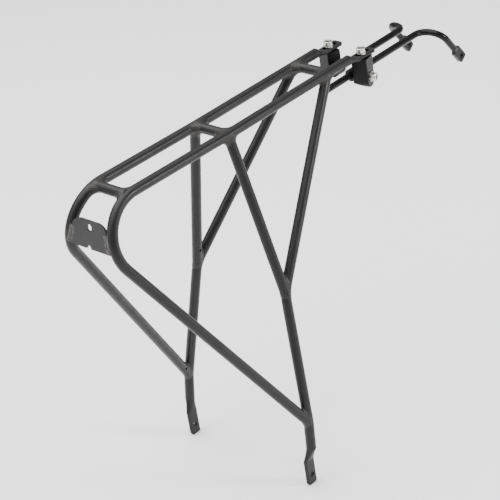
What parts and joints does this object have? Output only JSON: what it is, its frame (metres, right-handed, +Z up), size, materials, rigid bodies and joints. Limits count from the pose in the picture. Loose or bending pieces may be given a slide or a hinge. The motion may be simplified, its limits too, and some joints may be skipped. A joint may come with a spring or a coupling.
{
  "type": "bicycle rear rack",
  "caption": "Narrow tubular rear rack for a bicycle: two rails, rear hoops, legs with dropout eyelets, a light plate and adjustable front stays.",
  "frame": {"origin": "midway between the two dropout eyelets, on the plane of symmetry", "axes": "+X forward towards the front stays, +Y to the bicycle's left along the eyelets, +Z up"},
  "size_m": [0.5062, 0.1732, 0.3658],
  "materials": {
    "frame_coat": "satin black powder coat",
    "black_block": "black anodised, satin",
    "black_stay": "satin black coat on solid rod",
    "stainless": "bright stainless steel"
  },
  "bodies": {
    "frame": {"rear_cross_tube": "frame_coat", "middle_cross_tube": "frame_coat", "front_cross_tube": "frame_coat", "light_plate": "frame_coat", "left_rail_hoop": "frame_coat", "left_leg": "frame_coat", "left_foot": "frame_coat", "left_middle_strut": "frame_coat", "right_rail_hoop": "frame_coat", "right_leg": "frame_coat", "right_foot": "frame_coat", "right_middle_strut": "frame_coat"},
    "left_slot_bolt": {"left_top_bolt": "stainless", "left_top_washer": "stainless"},
    "left_clamp": {"left_clamp_block": "black_block", "left_pinch_bolt": "stainless", "left_pinch_washer": "stainless"},
    "left_front_stay": {"left_stay": "black_stay", "left_paddle": "black_stay"},
    "right_slot_bolt": {"right_top_bolt": "stainless", "right_top_washer": "stainless"},
    "right_clamp": {"right_clamp_block": "black_block", "right_pinch_bolt": "stainless", "right_pinch_washer": "stainless"},
    "right_front_stay": {"right_stay": "black_stay", "right_paddle": "black_stay"}
  },
  "joints": [
    {"name": "left_slot_slide", "type": "slide", "parent": "frame", "child": "left_slot_bolt", "axis": [1, 0, 0], "range_m": [-0.004, 0.008]},
    {"name": "left_clamp_swivel", "type": "hinge", "parent": "left_slot_bolt", "child": "left_clamp", "pos_m": [0.2145, 0.0205, 0.343], "axis": [0, 0, 1], "range_deg": [-2, 4]},
    {"name": "left_stay_slide", "type": "slide", "parent": "left_clamp", "child": "left_front_stay", "axis": [1, 0, 0], "range_m": [-0.035, 0.035]},
    {"name": "right_slot_slide", "type": "slide", "parent": "frame", "child": "right_slot_bolt", "axis": [1, 0, 0], "range_m": [-0.004, 0.008]},
    {"name": "right_clamp_swivel", "type": "hinge", "parent": "right_slot_bolt", "child": "right_clamp", "pos_m": [0.2145, -0.0205, 0.343], "axis": [0, 0, -1], "range_deg": [-2, 4]},
    {"name": "right_stay_slide", "type": "slide", "parent": "right_clamp", "child": "right_front_stay", "axis": [1, 0, 0], "range_m": [-0.035, 0.035]}
  ]
}
